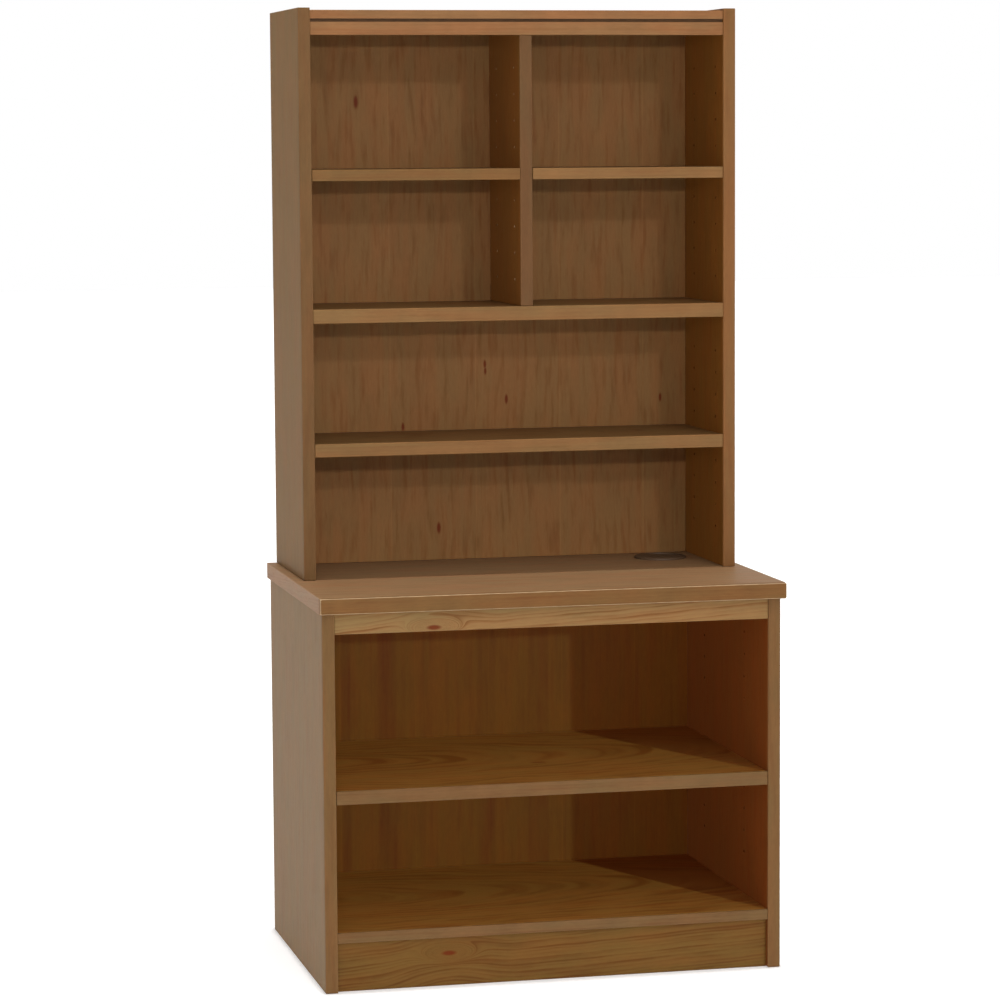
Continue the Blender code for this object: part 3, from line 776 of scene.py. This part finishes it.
def grommet_cap():
    """A disc with one side cut straight for the cables, rounded edges and a sunk panel on top."""
    low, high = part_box("grommet_cap")
    half_mouth = math.acos(CAP_MOUTH / CAP_RADIUS)
    arc = 2 * (math.pi - half_mouth)
    angles = [half_mouth + arc * step / SLEEVE_SEGMENTS for step in range(SLEEVE_SEGMENTS + 1)]
    bm = bmesh.new()
    outline = [(CAP_RADIUS * math.cos(a), CAP_RADIUS * math.sin(a), 0.0) for a in angles]
    disc = bm.faces.new([bm.verts.new(point) for point in outline])
    raised = bmesh.ops.extrude_face_region(bm, geom=[disc])["geom"]
    risen = [item for item in raised if isinstance(item, bmesh.types.BMVert)]
    bmesh.ops.translate(bm, vec=(0.0, 0.0, high.z - low.z), verts=risen)
    bmesh.ops.recalc_face_normals(bm, faces=bm.faces)
    sharp = [edge for edge in bm.edges if edge.calc_face_angle(0.0) > math.radians(30)]
    bmesh.ops.bevel(bm, geom=sharp, offset=CAP_ROUNDING, segments=3, profile=0.5, affect="EDGES")
    top = max((face for face in bm.faces if face.normal.z > 0.99), key=lambda face: face.calc_area())
    bmesh.ops.inset_region(bm, faces=[top], thickness=CAP_PANEL_INSET, use_even_offset=True)
    bmesh.ops.inset_region(bm, faces=[top], thickness=CAP_PANEL_STEP, depth=-CAP_PANEL_STEP)
    turn = Matrix.Rotation(CAP_MOUTH_ANGLE, 4, "Z")
    bm.transform(Matrix.Translation((GROMMET_CENTRE.x, GROMMET_CENTRE.y, low.z)) @ turn)
    piece(bm, "grommet_cap", PLASTIC, HUTCH_GROUP, "grommet_cap")


def shelf_pin(node):
    """A plated pin with chamfered ends and a shallow groove round its middle."""
    low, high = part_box(node)
    half = (high.x - low.x) / 2
    radius = (high.z - low.z) / 2
    groove = 2 * PIN_GROOVE
    upper = [(0.0, half), (radius - PIN_CHAMFER, half), (radius, half - PIN_CHAMFER), (radius, groove)]
    lower = [(r, -height) for r, height in reversed(upper)]
    bm = lathe(upper + [(radius - PIN_GROOVE, 0.0)] + lower, PIN_SEGMENTS)
    bm.transform(Matrix.Translation((low + high) / 2) @ Matrix.Rotation(math.pi / 2, 4, "Y"))
    piece(bm, node, STEEL, BASE_GROUP if node.startswith("base") else HUTCH_GROUP)


def dowel(node):
    """A fluted dowel with chamfered ends."""
    low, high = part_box(node)
    half = (high.z - low.z) / 2
    full = (high.x - low.x) / 2

    def radius_at(height, angle):
        end = max(0.0, abs(height) - (half - DOWEL_CHAMFER))
        flute = max(0.0, math.cos(DOWEL_FLUTES * angle))
        return full - FLUTE_DEPTH * flute - DOWEL_CHAMFER_SLOPE * end

    shoulder = half - DOWEL_CHAMFER
    bm, bottom, top = shaped_rod((-half, -shoulder, shoulder, half), radius_at, DOWEL_SEGMENTS)
    bm.faces.new(bottom)
    bm.faces.new(top)
    bmesh.ops.translate(bm, vec=(low + high) / 2, verts=bm.verts)
    piece(bm, node, BEECH, HUTCH_GROUP)


def cross_recess(bm, rim):
    """Closes a screw's head with a flat face round a cross-shaped recess."""
    near, far = CROSS_HALF_WIDTH, CROSS_REACH
    arm = [(far, -near), (far, near), (near, near)]
    outline = []
    for quarter in range(4):
        turn = Matrix.Rotation(quarter * math.pi / 2, 2)
        outline += [turn @ Vector(point) for point in arm]
    mouth = [bm.verts.new((x, y, 0.0)) for x, y in outline]
    floor = [bm.verts.new((CROSS_TAPER * x, CROSS_TAPER * y, CROSS_DEPTH)) for x, y in outline]
    edges = [bm.edges.new((mouth[i - 1], mouth[i])) for i in range(len(mouth))]
    around = [bm.edges.get((rim[i - 1], rim[i])) for i in range(len(rim))]
    bmesh.ops.triangle_fill(bm, use_beauty=True, use_dissolve=False, edges=edges + around)
    for i in range(len(mouth)):
        bm.faces.new((mouth[i - 1], mouth[i], floor[i], floor[i - 1]))
    bm.faces.new(floor)


def screw(node):
    """A countersunk wood screw, point up, with a real thread and a cross recess."""
    low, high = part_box(node)
    length = high.z - low.z
    head_radius = (high.x - low.x) / 2

    def radius_at(height, angle):
        if height <= SCREW_HEAD_HEIGHT:
            share = max(0.0, height - SCREW_HEAD_RIM) / (SCREW_HEAD_HEIGHT - SCREW_HEAD_RIM)
            return head_radius + (SHANK_RADIUS - head_radius) * share
        if height <= PLAIN_SHANK_END:
            return SHANK_RADIUS
        turn = (height / THREAD_PITCH - angle / (2 * math.pi)) % 1.0
        ridge = max(0.0, 1.0 - THREAD_SHARPNESS * abs(2 * turn - 1.0))
        full = SHANK_RADIUS - THREAD_DEPTH * (1.0 - ridge)
        taper = min(1.0, (length - height) / TIP_LENGTH)
        return TIP_RADIUS + (full - TIP_RADIUS) * taper

    step = THREAD_PITCH / RINGS_PER_TURN
    threads = int((length - PLAIN_SHANK_END) / step)
    heights = [0.0, SCREW_HEAD_RIM, SCREW_HEAD_HEIGHT, PLAIN_SHANK_END]
    heights += [length - step * (threads - ring) for ring in range(1, threads + 1)]
    bm, rim, tip = shaped_rod(heights, radius_at, SCREW_SEGMENTS)
    cross_recess(bm, rim)
    bm.faces.new(tip)
    middle = (low + high) / 2
    bmesh.ops.translate(bm, vec=(middle.x, middle.y, low.z), verts=bm.verts)
    piece(bm, node, STEEL, HUTCH_GROUP)


GROMMET_CENTRE = (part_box("grommet_sleeve")[0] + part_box("grommet_sleeve")[1]) / 2
grommet_sleeve()
grommet_cap()
for node in sorted(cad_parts):
    if "_pin_" in node:
        shelf_pin(node)
    elif "_dowel_" in node:
        dowel(node)
    elif "_screw_" in node:
        screw(node)


# ---------------------------------------------------------------- stage, light and camera
FLOOR_HALF_SIZE = 30.0
FLOOR_GAP = 0.0005
FLOOR_PALE = (0.94, 0.94, 0.94)
FLOOR_GREY = (0.90, 0.90, 0.90)
FLOOR_CLOUD_SCALE = 1.5
FLOOR_ROUGHNESS = 0.9
FLOOR_GLOW = 0.25
WHITE = (1.0, 1.0, 1.0)
WORLD_LIGHT = 0.70


def stage_floor():
    bm = bmesh.new()
    bmesh.ops.create_grid(bm, x_segments=2, y_segments=2, size=FLOOR_HALF_SIZE)
    mesh = bpy.data.meshes.new("studio_floor")
    bm.to_mesh(mesh)
    bm.free()
    floor = bpy.data.objects.new("studio_floor", mesh)
    floor.location.z = CAD_BOX[0].z - FLOOR_GAP
    bpy.context.scene.collection.objects.link(floor)
    graph = Graph("pale_floor")
    place = graph.add("ShaderNodeTexCoord").outputs["Object"]
    cloud = graph.noise(graph.scale(place, FLOOR_CLOUD_SCALE), 2.0)
    colour = graph.mix(cloud, FLOOR_GREY, FLOOR_PALE)
    mesh.materials.append(graph.finish(colour, FLOOR_ROUGHNESS))
    graph.feed(graph.shader.inputs["Emission Color"], WHITE)
    graph.feed(graph.shader.inputs["Emission Strength"], FLOOR_GLOW)


def white_world():
    """Shows plain white behind the object, and lights it a little less than that."""
    world = bpy.data.worlds.new("white_studio")
    world.use_nodes = True
    tree = world.node_tree
    background = tree.nodes["Background"]
    background.inputs["Color"].default_value = (*WHITE, 1.0)
    ray = tree.nodes.new("ShaderNodeLightPath")
    strength = tree.nodes.new("ShaderNodeMapRange")
    tree.links.new(ray.outputs["Is Camera Ray"], strength.inputs[0])
    strength.inputs[3].default_value = WORLD_LIGHT
    strength.inputs[4].default_value = 1.0
    tree.links.new(strength.outputs[0], background.inputs["Strength"])
    bpy.context.scene.world = world


def direction(azimuth, elevation):
    """The way towards a lamp. Azimuth 0 is straight in front, and it grows to the right."""
    a, e = math.radians(azimuth), math.radians(elevation)
    return Vector((math.sin(a) * math.cos(e), -math.cos(a) * math.cos(e), math.sin(e)))


def lamp_object(light, group):
    lamp = bpy.data.objects.new(light.name, light)
    bpy.context.scene.collection.objects.link(lamp)
    if group:
        lamp.light_linking.receiver_collection = group
    return lamp


def sun(name, share, azimuth, elevation, width, group=None, shadow=True, tint=WHITE):
    """share is its light on a face square to it, as a share of a white surround's, and width how wide
    it looks in degrees."""
    light = bpy.data.lights.new(name, "SUN")
    light.color = tint
    light.energy = math.pi * share
    light.angle = math.radians(width)
    light.use_shadow = shadow
    lamp = lamp_object(light, group)
    lamp.rotation_euler = direction(azimuth, elevation).to_track_quat("Z", "Y").to_euler()


def bulb(name, share, place, radius, group=None):
    """share is its light on a face square to it at the object's middle."""
    light = bpy.data.lights.new(name, "POINT")
    away = (Vector(place) - (CAD_BOX[0] + CAD_BOX[1]) / 2).length
    light.energy = share * (2 * math.pi * away) ** 2
    light.shadow_soft_size = radius
    lamp_object(light, group).location = place


# The camera stands where the photo's edges put it, in metres and degrees.
CAMERA_PLACE = Vector((-1.5844, -6.6323, 1.5602))
CAMERA_YAW = math.radians(-13.12)
CAMERA_PITCH = math.radians(-5.789)
CAMERA_ROLL = math.radians(-0.349)
CAMERA_LENS = 129.72
SENSOR_WIDTH = 36.0
CAMERA_FAR = 200.0


def camera():
    data = bpy.data.cameras.new("camera")
    data.sensor_width = SENSOR_WIDTH
    data.lens = CAMERA_LENS
    data.clip_end = CAMERA_FAR
    cam = bpy.data.objects.new("camera", data)
    upright = Matrix.Rotation(math.pi / 2, 4, "X")
    turn = Matrix.Rotation(CAMERA_YAW, 4, "Z") @ Matrix.Rotation(CAMERA_PITCH, 4, "X")
    roll = Matrix.Rotation(CAMERA_ROLL, 4, "Z")
    cam.matrix_world = Matrix.Translation(CAMERA_PLACE) @ turn @ upright @ roll
    bpy.context.scene.collection.objects.link(cam)
    bpy.context.scene.camera = cam


OLIVE_LIGHT = (0.62, 1.0, 0.80)
PALE_OLIVE_LIGHT = (0.80, 1.0, 0.70)
AMBER_LIGHT = (1.0, 0.28, 0.0)
FRONT_LIGHT_PLACE = (-1.35, -5.8, 2.1)
FRONT_LIGHT_RADIUS = 0.09
DIRECT_CLAMP = 3.0
INDIRECT_CLAMP = 1.0

# The photo joins two pictures that are lit apart, so the hutch and the base have lamps of their own.
# Every sun: name, share, azimuth, elevation, width, the parts it lights (None for all), and options.
SUNS = [
    ("hutch_key_light", 0.14, 12.0, 18.0, 2.5, HUTCH_GROUP, {}),
    ("base_front_light", 0.15, -10.0, 7.0, 2.5, BASE_GROUP, {}),
    ("base_key_light", 0.24, 24.0, 9.0, 1.2, BASE_GROUP, {"tint": OLIVE_LIGHT}),
    ("base_floor_light", 1.5, 24.0, 9.0, 1.2, FLOOR_GROUP, {"tint": PALE_OLIVE_LIGHT}),
    ("base_floor_glow", 0.09, 0.0, 89.0, 5.0, FLOOR_GROUP, {"shadow": False, "tint": AMBER_LIGHT}),
    ("right_wall_light", 0.33, -90.0, 4.0, 5.0, RIGHT_WALLS, {"shadow": False}),
    ("left_wall_light", 0.33, 90.0, 4.0, 5.0, LEFT_WALLS, {"shadow": False}),
    ("top_light", 0.52, 0.0, 89.0, 0.9, None, {}),
    ("soft_fill", 0.30, 5.0, 35.0, 50.0, None, {}),
    ("side_fill", 0.05, -80.0, 12.0, 30.0, None, {}),
]

stage_floor()
white_world()
bulb("hutch_front_light", 0.26, FRONT_LIGHT_PLACE, FRONT_LIGHT_RADIUS, HUTCH_GROUP)
for name, share, azimuth, elevation, width, group, options in SUNS:
    sun(name, share, azimuth, elevation, width, group, **options)
camera()
bpy.context.scene.view_settings.view_transform = "Standard"

# With its light tree, Cycles drops the top light in some runs and not in others.
bpy.context.scene.cycles.use_light_tree = False
# Clamped light paths keep stray sparks out of the picture.
bpy.context.scene.cycles.caustics_reflective = False
bpy.context.scene.cycles.sample_clamp_direct = DIRECT_CLAMP
bpy.context.scene.cycles.sample_clamp_indirect = INDIRECT_CLAMP
